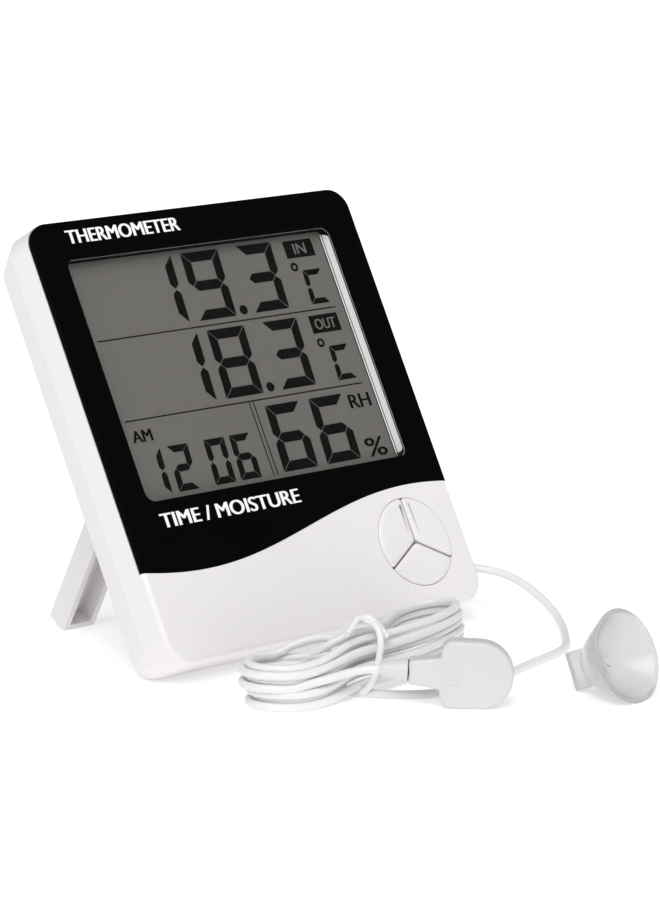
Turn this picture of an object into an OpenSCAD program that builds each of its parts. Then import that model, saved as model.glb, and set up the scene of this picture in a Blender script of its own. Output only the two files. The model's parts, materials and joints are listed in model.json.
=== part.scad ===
// Digital maximum minimum thermometer with a wired outdoor probe.
// The case stands on its lower rear edge and on the feet of a fold-out stand.
// X runs to the right as seen from the front, +Y to the back, +Z up.
// The origin is on the table, under the middle of the standing case.
// Case parts are drawn upright in the case frame (front face at y = 0, base at z = 0)
// and are then leaned back by in_case().

/* [Case] */
// Width of the case
case_w = 100; // [96:1:104]
// Height of the case
case_h = 108; // [106:1:110]
// Depth of the case, front face to back face
case_d = 20; // [20:1:22]
// Wall thickness of both shells
wall = 2; // [1.6:0.2:2.2]
// Radius of the two upper corners
top_corner_r = 5.5; // [4:0.5:7]
// Radius of the two lower corners
low_corner_r = 6.5; // [6:0.5:9]
// Depth at which the front shell meets the rear shell
parting_y = 9; // [9:0.5:10]
// How far the rear shell narrows on each side
side_taper = 2.4; // [1.5:0.1:3]

/* [Front] */
// Thickness of the black faceplate
plate_t = 1.5; // [1.2:0.1:1.8]
// Half width of the display window
window_half_w = 41.6; // [40:0.2:42]
// Lower edge of the display window
window_z0 = 38.4; // [38:0.2:40]
// Upper edge of the display window
window_z1 = 98.6; // [96:0.2:98.6]
// Mean height of the faceplate's wavy lower edge
wave_z = 25.9; // [25:0.1:26.5]
// Rise and fall of the wave about its mean
wave_amp = 5.3; // [3:0.1:5.5]

/* [Keys] */
// Radius of the round three-key cluster
key_r = 11; // [11:0.5:12]
// Gap between neighbouring keys
key_gap = 0.8; // [0.6:0.1:1]
// Travel of each front key
key_travel = 0.7; // [0.5:0.1:0.8]

/* [Stand] */
// Height of the stand's pivot above the case's base
pivot_z = 57.5; // [57.5:0.5:58]
// Length of each leg, from the pivot to the foot
leg_len = 55; // [50:1:55]
// Width of each leg
leg_w = 9.5; // [8:0.5:9.5]
// Thickness of each leg
leg_t = 6; // [5:0.5:6]
// Angle between the back of the case and an open leg
open_angle = 57; // [45:1:60]

/* [Probe] */
// Diameter of the probe's cable
cable_d = 2; // [1.8:0.1:2.2]
// Radius of the probe's round end
probe_r = 7.7; // [7:0.1:8]
// Rim radius of the suction cup
cup_r = 11; // [10:0.1:12]

/* [Hidden] */
$fn = 64;
eps = 0.01;

// ---- lean of the standing case -------------------------------------------------
rear_r = 5;                       // rounding between the back and the sides
base_taper = 0.5;                 // how far the rear shell rises at the base
edge_y = case_d - rear_r;         // centre of the lower rear rounding
edge_z = base_taper + rear_r;
pivot_y = case_d - leg_t / 2;
// the corner of the open foot that touches the table
foot_y = pivot_y - leg_t / 2 * cos(open_angle) + leg_len * sin(open_angle);
foot_z = pivot_z - leg_t / 2 * sin(open_angle) - leg_len * cos(open_angle);
foot_run = norm([foot_y - edge_y, foot_z - edge_z]);
lean = atan2(foot_z - edge_z, foot_y - edge_y) + asin(rear_r / foot_run);
// the outer corner of the open foot is the rearmost point of the object
heel_y = foot_y + leg_t * cos(open_angle);
heel_z = foot_z + leg_t * sin(open_angle);
heel_back = heel_y * cos(lean) + heel_z * sin(lean);
place_y = -heel_back / 2;
place_z = rear_r - edge_z * cos(lean) + edge_y * sin(lean);

// ---- depths inside the case ----------------------------------------------------
bezel_back = plate_t + 1.7;       // back of the wall that frames the display
low_wall = 2;                     // wall behind the white lower front
pol_t = 0.15;
glass_t = 1.05;
board_y = 6.2;
board_t = 1;
board_back = board_y + board_t;

// ---- fixing points, as [x, z] --------------------------------------------------
case_screw_at = [[-12, 8], [12, 8], [-34, 102.6], [34, 102.6]];
board_screw_at = [[-33, 32.6], [10, 32.6], [44.6, 32.6]];
boss_r = 2.4;
head_seat_y = 14;

// ---- keys ----------------------------------------------------------------------
key_at = [33.4, 16.9];
key_proud = 0.6;
key_clear = 0.35;
flange_over = 1.4;
rear_button_at = [[38, 74], [38, 64]];
rear_button_r = 1.9;
rear_button_travel = 0.5;

// ---- battery bay and door ------------------------------------------------------
cell_r = 5.25;
cell_len = 44.5;
bay_half_w = 5.6;
bay_z0 = 2.9;
bay_z1 = 52.9;
bay_floor_y = 8.1;
cell_y = 13.45;
cell_z = bay_z0 + 4.4;
door_half_w = 7.2;
door_y = 18.8;
door_z1 = 53.4;
door_pin_z = 7.9;
door_pin_r = 0.5;
door_pin_y = (door_y + case_d) / 2;

// ---- stand ---------------------------------------------------------------------
leg_x0 = 19;
leg_x1 = leg_x0 + leg_w;
leg_wall = 1.5;
pin_r = 1.5;
pin_len = 2;
recess_gap = 0.3;

// ---- cable route, on the table frame (round numbers, mm) ------------------------
cable_route = [[46, -18, 10.5], [53, -18, 10.5], [58, -19, 10.5], [62, -22.5, 10],
    [64, -27.5, 9.3], [64.5, -33, 8], [64, -39, 6], [62, -46, 3.8], [58, -53, 2.1],
    [53, -59, 1.2], [47.5, -64.5, 1], [41.5, -68, 1], [34.5, -70, 1], [26.5, -72, 1],
    [18, -74.5, 1], [8, -77, 1], [0, -77, 1], [-7, -75.5, 1],
    [-12, -72.5, 1], [-15.5, -68.7, 1]];
tail_route = [[-31, -66.9, 7], [-27.5, -67.9, 7.6], [-24, -69.6, 8.2], [-20.9, -72.4, 8.6]];
exit_point = cable_route[0];

// ---- hank, tie, probe and suction cup, on the table frame -----------------------
tie_at = [-17, -60.5];             // middle of the hank where it is tied
hank_bow_left = 0.0133;            // bend of the hank on each side of the tie
hank_bow_right = 0.0098;
hank_half = 5.4;                   // half width at the tie, and at each end
hank_half_left = 8.4;
hank_half_right = 7.2;
hank_left = -17.6;                 // centres of the rounded ends, from the tie
hank_right = 35.2;
hank_z0 = 1;
hank_h = 15;
tie_t = 0.9;
tie_w = 2;
probe_turn = -46;
probe_pitch = 2.3;
probe_at = [-16.4, -77.1];
probe_t = 5.4;
probe_end_x = 15.8;
neck_h = 5.4;
cup_len = 16;
cup_neck_r = 4.5;                  // half height of the flat tab, and the cup's small end
cup_tab_t = 3;
cup_tab_len = 6;
cup_floor_r = 3.9;                // flat floor of the cup's hollow
cup_floor_z = 10.4;
cup_turn = 7;
cup_rim_at = [24, -110.5];

function wave(x) = wave_z - wave_amp * cos(180 * (x + 31) / 68);

// Places upright case geometry in the leaned-back case.
module in_case() {
    translate([0, place_y, place_z]) rotate([-lean, 0, 0]) children();
}

// Turns an outline drawn as (x, z) into a slab between two depths.
module slab(y0, y1) {
    translate([0, y1, 0]) rotate([90, 0, 0]) linear_extrude(y1 - y0) children();
}

// Round bar along the depth of the case.
module bar_y(x, z, y0, y1, r, r2 = -1) {
    translate([x, y0, z]) rotate([-90, 0, 0])
        cylinder(h = y1 - y0, r1 = r, r2 = r2 < 0 ? r : r2);
}

// Round bar along the width of the case.
module bar_x(x0, x1, y, z, r) {
    translate([x0, y, z]) rotate([0, 90, 0]) cylinder(h = x1 - x0, r = r);
}

// Block between two corners.
module block(a, b) {
    translate(a) cube(b - a);
}

// Front outline of the case, drawn in by a margin.
module case_outline(in = 0) {
    half = case_w / 2 - in;
    rt = top_corner_r - in;
    rb = low_corner_r - in;
    translate([-half, in + rb]) square([2 * half, case_h - 2 * in - rt - rb]);
    translate([-half + rb, in]) square([2 * (half - rb), rb + 1]);
    translate([-half + rt, case_h - in - rt - 1]) square([2 * (half - rt), rt + 1]);
    for (side = [-1, 1]) {
        translate([side * (half - rb), in + rb]) circle(r = rb);
        translate([side * (half - rt), case_h - in - rt]) circle(r = rt);
    }
}

// Everything below the wavy line, drawn for the white lower front.
module below_wave(drop = 0) {
    edge = case_w / 2 + 2;
    polygon(concat([for (x = [-edge : 2 : edge]) [x, wave(x) - drop]],
        [[edge, -2], [-edge, -2]]));
}

module window_outline(in = 0) {
    r = 2.5;
    w = 2 * (window_half_w - in);
    h = window_z1 - window_z0 - 2 * in;
    translate([-w / 2, window_z0 + in]) rounded(w, h, r);
}

// Rounded rectangle with its lower left corner at the origin.
module rounded(w, h, r) {
    translate([r, 0]) square([w - 2 * r, h]);
    translate([0, r]) square([w, h - 2 * r]);
    for (x = [r, w - r], z = [r, h - r]) translate([x, z]) circle(r = r);
}

// ---- front shell and faceplate -------------------------------------------------
module front_case() {
    color("whitesmoke") in_case() difference() {
        union() {
            slab(plate_t, parting_y) case_outline();
            slab(0, plate_t + eps) intersection() {
                case_outline();
                below_wave(0.1);
            }
        }
        slab(bezel_back, parting_y + 1) difference() {
            case_outline(wall);
            boss_outlines();
        }
        slab(low_wall, bezel_back + eps) intersection() {
            case_outline(wall);
            translate([key_at[0], key_at[1]]) circle(r = key_r + flange_over + 0.4);
        }
        slab(plate_t - 1, bezel_back + 1) window_outline();
        bar_y(key_at[0], key_at[1], -1, 4, key_r + key_clear);
        for (p = case_screw_at) bar_y(p[0], p[1], 3.6, parting_y + 1, 0.85);
        for (p = board_screw_at) bar_y(p[0], p[1], 3.6, parting_y + 1, 0.7);
        for (p = board_screw_at) bar_y(p[0], p[1], board_y, parting_y + 1, 2);
    }
}

module boss_outlines() {
    for (p = case_screw_at) translate([p[0], p[1]]) circle(r = boss_r);
    for (p = board_screw_at) translate([p[0], p[1]]) circle(r = 1.8);
}

module faceplate() {
    color([0.02, 0.02, 0.025]) in_case() slab(0, plate_t) difference() {
        case_outline(0.1);
        below_wave();
        window_outline();
    }
}

module window_lens() {
    color([0.8, 0.85, 0.85, 0.3]) in_case() slab(0.3, plate_t) window_outline(0.05);
}

// ---- display -------------------------------------------------------------------
module glass_sheet(y0, y1, z0, z1, half) {
    block([-half, y0, z0], [half, y1, z1]);
}

module lcd_polariser() {
    color([0.45, 0.45, 0.42]) in_case()
        glass_sheet(bezel_back, bezel_back + pol_t, 38, 99, 42.1);
}

module lcd_glass() {
    y0 = bezel_back + pol_t;
    color([0.55, 0.6, 0.55, 0.6]) in_case() {
        glass_sheet(y0, y0 + glass_t, 37.9, 99.1, 42.3);
        glass_sheet(y0 + glass_t, y0 + 2 * glass_t, 41, 99.1, 42.3);
    }
}

module lcd_reflector() {
    y0 = bezel_back + pol_t + 2 * glass_t;
    color("silver") in_case() glass_sheet(y0, y0 + pol_t, 41.2, 99, 42.1);
}

module lcd_holder() {
    back = bezel_back + 2 * pol_t + 2 * glass_t;
    color("white") in_case() difference() {
        block([-44, bezel_back, 36.6], [44, board_y, 100]);
        block([-42.5, bezel_back - 1, 37.7], [42.5, back, 99.3]);
        block([-40, back - 1, 37.7], [40, board_y + 1, 95]);
    }
}

module zebra_strip() {
    y0 = bezel_back + pol_t + glass_t;
    color([0.25, 0.25, 0.27]) in_case() block([-39.5, y0, 38.2], [39.5, board_y, 40.4]);
}

// ---- circuit board and what it carries -----------------------------------------
module main_board() {
    color("darkgreen") in_case() difference() {
        union() {
            block([-38, board_y, 13], [46.5, board_back, 98]);
            block([17, board_y, 4.5], [46.5, board_back, 30]);
        }
        for (p = board_screw_at) bar_y(p[0], p[1], board_y - 1, board_back + 1, 1.05);
    }
}

module chip_blob() {
    color([0.05, 0.05, 0.05]) in_case() translate([-16, board_back, 74]) rotate([-90, 0, 0])
        intersection() {
            cylinder(h = 1.8, r = 9);
            translate([0, 0, -22]) sphere(r = 23.8);
        }
}

module crystal() {
    color("silver") in_case() {
        bar_x(-30, -22, board_back + 1, 58, 1);
        for (z = [57.5, 58.5]) bar_x(-22.2, -19, board_back + 0.3, z, 0.2);
    }
}

module capacitors() {
    color("sandybrown") in_case() {
        for (i = [0 : 3]) block([-34 + 4 * i, board_back, 90], [-32 + 4 * i, board_back + 0.8, 91.2]);
        bar_y(-12, 40, board_back, board_back + 6, 2.5);
    }
}

module tact_switches() {
    color([0.15, 0.15, 0.15]) in_case() for (p = rear_button_at) {
        block([p[0] - 3, board_back, p[1] - 3], [p[0] + 3, board_back + 2.5, p[1] + 3]);
        bar_y(p[0], p[1], board_back + 2.5 - eps, board_back + 3.5, 1.6);
    }
}

module room_sensor() {
    color("black") in_case() {
        translate([-35, board_back + 3, 24]) sphere(r = 1.3);
        for (z = [23.5, 24.5]) bar_y(-35, z, board_back, board_back + 2.5, 0.2);
    }
}

module humidity_sensor() {
    color("white") in_case() difference() {
        block([-34, board_back, 36], [-26, board_back + 3, 42]);
        for (i = [0 : 2]) block([-33, board_back + 2, 36.8 + 1.8 * i], [-27, board_back + 4, 37.6 + 1.8 * i]);
    }
}

module buzzer() {
    color("gold") in_case() {
        bar_y(-24, 80, 17.6, 17.9, 9);
        bar_y(-24, 80, 17.4, 17.6 + eps, 6.5);
    }
}

// ---- keys ----------------------------------------------------------------------
key_centre_angle = [150, 30, 270];

// One third of a disc, with its straight sides drawn in by half the key gap.
module sector(r, angle, gap) {
    shift = gap / 2 / sin(60);
    intersection() {
        circle(r = r);
        rotate(angle) translate([shift, 0])
            polygon([[0, 0], [20, 20 * tan(60)], [20, -20 * tan(60)]]);
    }
}

module front_key(index) {
    angle = key_centre_angle[index];
    flange_y = low_wall + 0.1;
    color("white") in_case() translate([key_at[0], 0, key_at[1]]) {
        slab(-key_proud, flange_y + eps) sector(key_r, angle, key_gap);
        slab(flange_y, flange_y + 1) sector(key_r + flange_over, angle, key_gap);
    }
}

module mode_key() { front_key(0); }
module memory_key() { front_key(1); }
module adjust_key() { front_key(2); }

module key_mat() {
    color("lightgrey") in_case() translate([key_at[0], 0, key_at[1]]) {
        bar_y(0, 0, board_y - 0.8, board_y, key_r + 1);
        for (a = key_centre_angle)
            bar_y(7 * cos(a), 7 * sin(a), board_y - 2.1, board_y - 0.8 + eps, 1.6, 2.6);
    }
}

module rear_button(index) {
    p = rear_button_at[index];
    color("white") in_case() {
        bar_y(p[0], p[1], board_back + 4.2, case_d + 0.4, rear_button_r);
        bar_y(p[0], p[1], 16.8, 17.9, rear_button_r + 1.2);
    }
}

module unit_button() { rear_button(0); }
module reset_button() { rear_button(1); }

// ---- rear shell ----------------------------------------------------------------
// Rounded, tapering rear half, drawn in by a margin.
module rear_form(in = 0) {
    r = rear_r - in;
    hull() {
        slab(parting_y, parting_y + eps) case_outline(in);
        for (side = [-1, 1], z = [base_taper + rear_r, case_h - side_taper - rear_r])
            translate([side * (case_w / 2 - side_taper - rear_r), edge_y, z])
                sphere(r = r, $fn = 32);
    }
}

module rear_case() {
    ch_y = pivot_y - leg_t / 2 - recess_gap;       // floor of the leg channels
    ch_z1 = pivot_z + leg_t / 2 + recess_gap + 0.1;
    color("whitesmoke") in_case() difference() {
        union() {
            difference() {
                rear_form();
                rear_form(wall);
            }
            intersection() {
                rear_form();
                rear_inner_blocks(ch_y, ch_z1);
            }
            slab(parting_y - 1.4, parting_y + 1) difference() {
                case_outline(wall + 0.1);
                case_outline(wall + 1);
                for (p = case_screw_at) translate([p[0], p[1]]) circle(r = boss_r + 0.2);
            }
            bay_tub();
        }
        // battery bay, door seat and the door's pin bores
        block([-bay_half_w, bay_floor_y, bay_z0], [bay_half_w, case_d + 1, bay_z1]);
        block([-door_half_w - 0.15, door_y - 0.1, door_pin_z - 0.9],
            [door_half_w + 0.15, case_d + 1, door_z1 + 0.2]);
        bar_x(-door_half_w - 1, door_half_w + 1, door_pin_y, door_pin_z, door_pin_r + 0.05);
        // channels that take the folded stand, and its pin bores
        for (side = [-1, 1]) {
            x0 = side > 0 ? leg_x0 - recess_gap : -leg_x1 - recess_gap;
            block([x0, ch_y, 2], [x0 + leg_w + 2 * recess_gap, case_d + 1, ch_z1]);
        }
        block([-leg_x1, ch_y, pivot_z - leg_t / 2 - recess_gap - 0.1],
            [leg_x1, case_d + 1, ch_z1]);
        bar_x(-leg_x1 - pin_len - 0.2, leg_x1 + pin_len + 0.2, pivot_y, pivot_z, pin_r + 0.05);
        // wall-hanging keyhole and its pocket
        bar_y(0, 84, 13.5, case_d + 1, 4);
        block([-2.1, 17, 84], [2.1, case_d + 1, 93]);
        bar_y(0, 93, 17, case_d + 1, 2.1);
        block([-5, 13.5, 79.5], [5, case_d - wall, 98]);
        // screw holes, rear button holes, vents, buzzer holes and cable hole
        for (p = case_screw_at) {
            bar_y(p[0], p[1], parting_y - 2, case_d + 1, 1.1);
            bar_y(p[0], p[1], head_seat_y, case_d + 1, 2.3);
        }
        for (p = rear_button_at) bar_y(p[0], p[1], 17, case_d + 1, rear_button_r + 0.3);
        for (i = [0 : 4]) block([-44, 16, 18 + 4 * i], [-34, case_d + 1, 19.4 + 4 * i]);
        for (a = [0 : 60 : 300])
            bar_y(-24 + 3 * cos(a), 80 + 3 * sin(a), 17, case_d + 1, 0.7);
        at_exit() translate([-8, 0, 0]) rotate([0, 90, 0]) cylinder(h = 16, r = 2.2);
    }
}

// Solid blocks inside the rear shell, before the hollows are cut in them.
module rear_inner_blocks(ch_y, ch_z1) {
    rib = 1.5;
    for (side = [-1, 1]) {
        x0 = side > 0 ? leg_x0 - recess_gap - rib : -leg_x1 - pin_len - 2 * rib;
        block([x0, ch_y - rib, 0], [x0 + leg_w + recess_gap + pin_len + 3 * rib, case_d, ch_z1 + rib]);
    }
    block([-leg_x0, ch_y - rib, pivot_z - leg_t / 2 - recess_gap - 0.1],
        [leg_x0, case_d, ch_z1 + rib]);
    block([-6.5, 12, 78], [6.5, case_d, 99.5]);
    block([-door_half_w - 1.2, door_y - 2, bay_z0], [door_half_w + 1.2, case_d, bay_z1 + 1.2]);
    for (p = case_screw_at) bar_y(p[0], p[1], parting_y, case_d, boss_r + 0.8);
}

// Walls of the battery bay, which reach forward to the board.
module bay_tub() {
    block([-bay_half_w - 1.2, bay_floor_y - 0.7, bay_z0 - 0.9],
        [bay_half_w + 1.2, case_d - 1.5, bay_z1 + 1.2]);
}

// Moves to the cable's exit, in the case frame.
module at_exit() {
    dy = exit_point[1] - place_y;
    dz = exit_point[2] - place_z;
    translate([case_w / 2 - 2, dy * cos(lean) - dz * sin(lean), dy * sin(lean) + dz * cos(lean)])
        children();
}

// ---- stand ---------------------------------------------------------------------
module stand() {
    color("white") in_case() translate([0, pivot_y, pivot_z]) rotate([open_angle, 0, 0]) {
        bar_x(-leg_x1, leg_x1, 0, 0, leg_t / 2);
        bar_x(-leg_x1 - pin_len, leg_x1 + pin_len, 0, 0, pin_r);
        for (side = [-1, 1]) stand_leg(side > 0 ? leg_x0 : -leg_x1);
    }
}

// Channel-section leg, open towards the case.
module stand_leg(x0) {
    half = leg_t / 2;
    difference() {
        block([x0, -half, -leg_len], [x0 + leg_w, half, 0]);
        block([x0 + leg_wall, -half - 1, -leg_len + leg_wall],
            [x0 + leg_w - leg_wall, half - leg_wall, -half - 2]);
    }
}

// ---- battery and door ----------------------------------------------------------
module battery_door() {
    color("whitesmoke") in_case() {
        block([-door_half_w, door_y, door_pin_z], [door_half_w, case_d, door_z1]);
        bar_x(-door_half_w, door_half_w, door_pin_y, door_pin_z, (case_d - door_y) / 2);
        bar_x(-door_half_w - 0.8, door_half_w + 0.8, door_pin_y, door_pin_z, door_pin_r);
    }
}

module battery_cell() {
    color("goldenrod") in_case() translate([0, cell_y, cell_z]) {
        cylinder(h = cell_len - 1, r = cell_r);
        translate([0, 0, cell_len - 1 - eps]) cylinder(h = 1 + eps, r = 1.9);
    }
}

// Points of a circle of radius r round p, square to direction d.
function ring(p, d, r, sides) =
    let (n = d / norm(d), a = abs(n[2]) < 0.9 ? [0, 0, 1] : [1, 0, 0],
        u = cross(n, a) / norm(cross(n, a)), v = cross(n, u))
    [for (i = [0 : sides - 1]) p + r * (cos(360 * i / sides) * u + sin(360 * i / sides) * v)];

// Round tube of radius r along a list of points.
module tube(points, r, sides = 8) {
    last = len(points) - 1;
    heading = [for (i = [0 : last]) points[min(i + 1, last)] - points[max(i - 1, 0)]];
    rings = [for (i = [0 : last]) ring(points[i], heading[i], r, sides)];
    faces = concat([[for (k = [0 : sides - 1]) k]],
        [for (i = [0 : last - 1], k = [0 : sides - 1])
            let (n = (k + 1) % sides, a = i * sides, b = a + sides)
            [a + k, b + k, b + n, a + n]],
        [[for (k = [sides - 1 : -1 : 0]) last * sides + k]]);
    polyhedron([for (q = rings) for (p = q) p], faces);
}

// Smooth points through a list, n to each stretch (Catmull-Rom).
function smooth(p, n) = let (last = len(p) - 1) concat(
    [for (i = [0 : last - 1]) let (a = p[max(i - 1, 0)], b = p[i], c = p[i + 1],
        d = p[min(i + 2, last)])
        for (k = [0 : n - 1]) let (t = k / n)
            0.5 * (2 * b + (c - a) * t + (2 * a - 5 * b + 4 * c - d) * t * t
                + (3 * b - a - 3 * c + d) * t * t * t)], [p[last]]);

module battery_spring() {
    turns = 4;
    steps = 12;
    rise = (cell_z - bay_z0 - 0.9) / (turns * steps);
    color("silver") in_case() translate([0, cell_y, bay_z0]) {
        block([-5, -4.8, 0], [5, 4.8, 0.4]);
        tube([for (i = [0 : turns * steps]) let (r = 4 - 1.4 * i / (turns * steps), a = 360 * i / steps)
            [r * cos(a), r * sin(a), 0.6 + i * rise]], 0.25, 6);
    }
}

module battery_contact() {
    top = cell_z + cell_len;
    color("silver") in_case() block([-5, cell_y - 4.8, top + 0.05], [5, cell_y + 4.8, top + 0.55]);
}

module battery_wires() {
    lead = [[[-7.6, 10, 50], [-9, 9, 52], [-11, 8.4, 60], [-10, 8, 66], [-8, 7.7, 70]],
        [[7.6, 10, 6], [9, 9.4, 14], [10, 9.3, 24], [10, 9.3, 40], [6, 8.2, 60], [0, 7.8, 70]]];
    color("firebrick") in_case() for (p = lead) tube(smooth(p, 3), 0.5);
}

module probe_inner_lead() {
    lead = [[45.9, 14, 11.2], [44.5, 14, 11.2], [43, 13.9, 11.3], [41, 13, 12.6], [39, 11, 17],
        [37, 9, 23], [36, 8.2, 27]];
    color("white") in_case() tube(smooth(lead, 3), 0.8);
}

// ---- fasteners -----------------------------------------------------------------
module screw(p, head_y, head_r, head_h, shank_r, tip_y) {
    difference() {
        union() {
            bar_y(p[0], p[1], head_y, head_y + head_h, head_r);
            bar_y(p[0], p[1], tip_y, head_y + eps, shank_r);
        }
        for (a = [0, 90]) translate([p[0], 0, p[1]]) rotate([0, a, 0])
            block([-head_r * 0.7, head_y + head_h * 0.5, -0.2], [head_r * 0.7, head_y + head_h + 1, 0.2]);
    }
}

module case_screws() {
    color("silver") in_case() for (p = case_screw_at) screw(p, head_seat_y, 2, 1.4, 1, 4.4);
}

module board_screws() {
    color("silver") in_case() for (p = board_screw_at) screw(p, board_back, 1.7, 1.1, 0.85, 4.2);
}

// ---- cable, hank, tie ----------------------------------------------------------
module cable_grommet() {
    color("white") in_case() at_exit() rotate([0, 90, 0]) rotate_extrude()
        polygon([[1.02, -4.8], [3, -4.8], [3, -3.8], [2.15, -3.8], [2.15, 0.6],
            [1.4, 5], [1.02, 5]]);
}

module probe_cable() {
    color("white") tube(smooth(cable_route, 3), cable_d / 2);
}

module probe_tail() {
    color("white") tube(smooth(tail_route, 3), cable_d / 2);
}

// A point of the hank, from its distance along from the tie and across.
function hank_point(x, y) =
    let (bow = x < 0 ? hank_bow_left : hank_bow_right, slope = 2 * bow * x, n = norm([slope, 1]))
    [tie_at[0] + x - slope * y / n, tie_at[1] + bow * x * x + y / n];

// Half the hank's width at a distance from the tie.
function hank_reach(x) = x < 0
    ? hank_half + (hank_half_left - hank_half) * pow(x / hank_left, 2)
    : hank_half + (hank_half_right - hank_half) * pow(x / hank_right, 2);

module cable_hank() {
    steps = 12;
    along = [for (i = [0 : steps]) hank_left + (hank_right - hank_left) * i / steps];
    near = [for (x = along) hank_point(x, -hank_reach(x))];
    right = [for (a = [-75 : 15 : 75])
        hank_point(hank_right + hank_half_right * cos(a), hank_half_right * sin(a))];
    far = [for (i = [steps : -1 : 0]) hank_point(along[i], hank_reach(along[i]))];
    left = [for (a = [105 : 15 : 255])
        hank_point(hank_left + hank_half_left * cos(a), hank_half_left * sin(a))];
    color("white") translate([0, 0, hank_z0]) linear_extrude(hank_h)
        polygon(concat(near, right, far, left));
}

module cable_tie() {
    inner = 2 * hank_half + 0.2;
    w = inner + 2 * tie_t;
    h = hank_h + 2 * tie_t;
    color("white") translate([tie_at[0] - tie_w / 2, tie_at[1], hank_z0 - tie_t])
        rotate([90, 0, 90]) linear_extrude(tie_w) difference() {
            translate([-w / 2, 0]) rounded(w, h, 2);
            translate([-inner / 2, tie_t]) square([inner, hank_h]);
        }
}

// ---- probe ---------------------------------------------------------------------
// Probe frame: x from the neck to the round end, y through the thickness, z up.
module on_probe() {
    drop = probe_end_x * sin(probe_pitch);
    translate([probe_at[0], probe_at[1], probe_r + drop])
        rotate([0, 0, probe_turn]) rotate([0, probe_pitch, 0]) children();
}

module probe_outline() {
    shoulder_r = 3;
    polygon([[0, -neck_h / 2], [8, -neck_h * 0.7], [8, neck_h * 0.7], [0, neck_h / 2]]);
    translate([probe_end_x, 0]) circle(r = probe_r);
    translate([7 + shoulder_r, -probe_r]) square([probe_end_x - 7 - shoulder_r, 2 * probe_r]);
    translate([7, -probe_r + shoulder_r]) square([6, 2 * (probe_r - shoulder_r)]);
    for (side = [-1, 1])
        translate([7 + shoulder_r, side * (probe_r - shoulder_r)]) circle(r = shoulder_r);
}

module probe_shell(y0, y1) {
    color("white") on_probe() difference() {
        slab(y0, y1) probe_outline();
        translate([probe_end_x - 2, 0, 0]) sphere(r = 1.9);
        bar_x(-1, probe_end_x - 2, 0, 0, 1.05);
    }
}

module probe_front_shell() { probe_shell(-probe_t / 2, 0); }
module probe_rear_shell() { probe_shell(0, probe_t / 2); }

module probe_sensor() {
    color("black") on_probe() {
        translate([probe_end_x - 2, 0, 0]) sphere(r = 1.7);
        for (y = [-0.4, 0.4]) bar_x(1.5, probe_end_x - 3, y, 0, 0.25);
    }
}

module probe_strain_relief() {
    color("white") on_probe() rotate([0, -90, 0]) rotate_extrude()
        polygon([[1.1, 0], [2.7, 0], [1.5, 6.5], [1.1, 6.5]]);
}

// ---- suction cup ---------------------------------------------------------------
module suction_cup() {
    tilt = atan2(cup_r - cup_neck_r, cup_len);
    rim_t = 0.8;
    flare = cup_len - cup_tab_len;
    outer = [for (t = [0 : 0.125 : 1])
        [cup_neck_r + (cup_r - cup_neck_r) * pow(t, 0.8), cup_tab_len + flare * t]];
    inner = [for (t = [1 : -0.125 : 0])
        [cup_floor_r + (cup_r - rim_t - cup_floor_r) * pow(t, 0.75),
            cup_floor_z + (cup_len - cup_floor_z) * t]];
    color([0.85, 0.85, 0.86, 0.7]) translate([cup_rim_at[0], cup_rim_at[1], 0])
        rotate([0, 0, cup_turn]) rotate([90 - tilt, 0, 0]) translate([0, cup_r, -cup_len]) {
            rotate_extrude()
                polygon(concat([[0, cup_tab_len]], outer, inner, [[0, cup_floor_z]]));
            translate([-cup_tab_t / 2, -cup_neck_r, 0])
                cube([cup_tab_t, 2 * cup_neck_r, cup_tab_len + 1]);
        }
}

front_case();
faceplate();
window_lens();
lcd_polariser();
lcd_glass();
lcd_reflector();
lcd_holder();
zebra_strip();
main_board();
chip_blob();
crystal();
capacitors();
tact_switches();
room_sensor();
humidity_sensor();
buzzer();
key_mat();
mode_key();
adjust_key();
memory_key();
rear_case();
unit_button();
reset_button();
stand();
battery_door();
battery_cell();
battery_spring();
battery_contact();
battery_wires();
probe_inner_lead();
case_screws();
board_screws();
cable_grommet();
probe_cable();
cable_hank();
cable_tie();
probe_tail();
probe_front_shell();
probe_rear_shell();
probe_sensor();
probe_strain_relief();
suction_cup();
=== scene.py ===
import json
import math

import bmesh
import bpy
from mathutils import Matrix, Vector


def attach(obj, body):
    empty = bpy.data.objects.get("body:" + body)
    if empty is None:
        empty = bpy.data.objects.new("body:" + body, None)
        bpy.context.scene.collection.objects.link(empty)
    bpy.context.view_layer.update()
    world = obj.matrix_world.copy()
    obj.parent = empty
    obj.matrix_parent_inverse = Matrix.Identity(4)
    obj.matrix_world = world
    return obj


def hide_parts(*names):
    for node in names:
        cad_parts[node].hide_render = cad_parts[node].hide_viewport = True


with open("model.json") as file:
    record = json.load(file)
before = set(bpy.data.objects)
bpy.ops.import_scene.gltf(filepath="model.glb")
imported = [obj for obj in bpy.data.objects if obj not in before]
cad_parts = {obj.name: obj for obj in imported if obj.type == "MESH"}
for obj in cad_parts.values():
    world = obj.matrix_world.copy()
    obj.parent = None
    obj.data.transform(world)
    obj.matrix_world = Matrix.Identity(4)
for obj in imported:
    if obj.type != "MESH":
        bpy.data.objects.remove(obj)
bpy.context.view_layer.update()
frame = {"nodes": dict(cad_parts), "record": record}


MM = 0.001

# ---- where the case stands -------------------------------------------
WALL_BACK = Vector((14, 20, 75))        # the wall_back mount, in the case's own millimetres
wall_back = next(m for m in frame["record"]["mounts"] if m["name"] == "wall_back")
back_normal = Vector(wall_back["axis"])
LEAN = math.atan2(-back_normal.z, back_normal.y)
CASE = (Matrix.Translation(wall_back["pos_m"]) @ Matrix.Rotation(-LEAN, 4, "X")
        @ Matrix.Scale(MM, 4) @ Matrix.Translation(-WALL_BACK))

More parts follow.
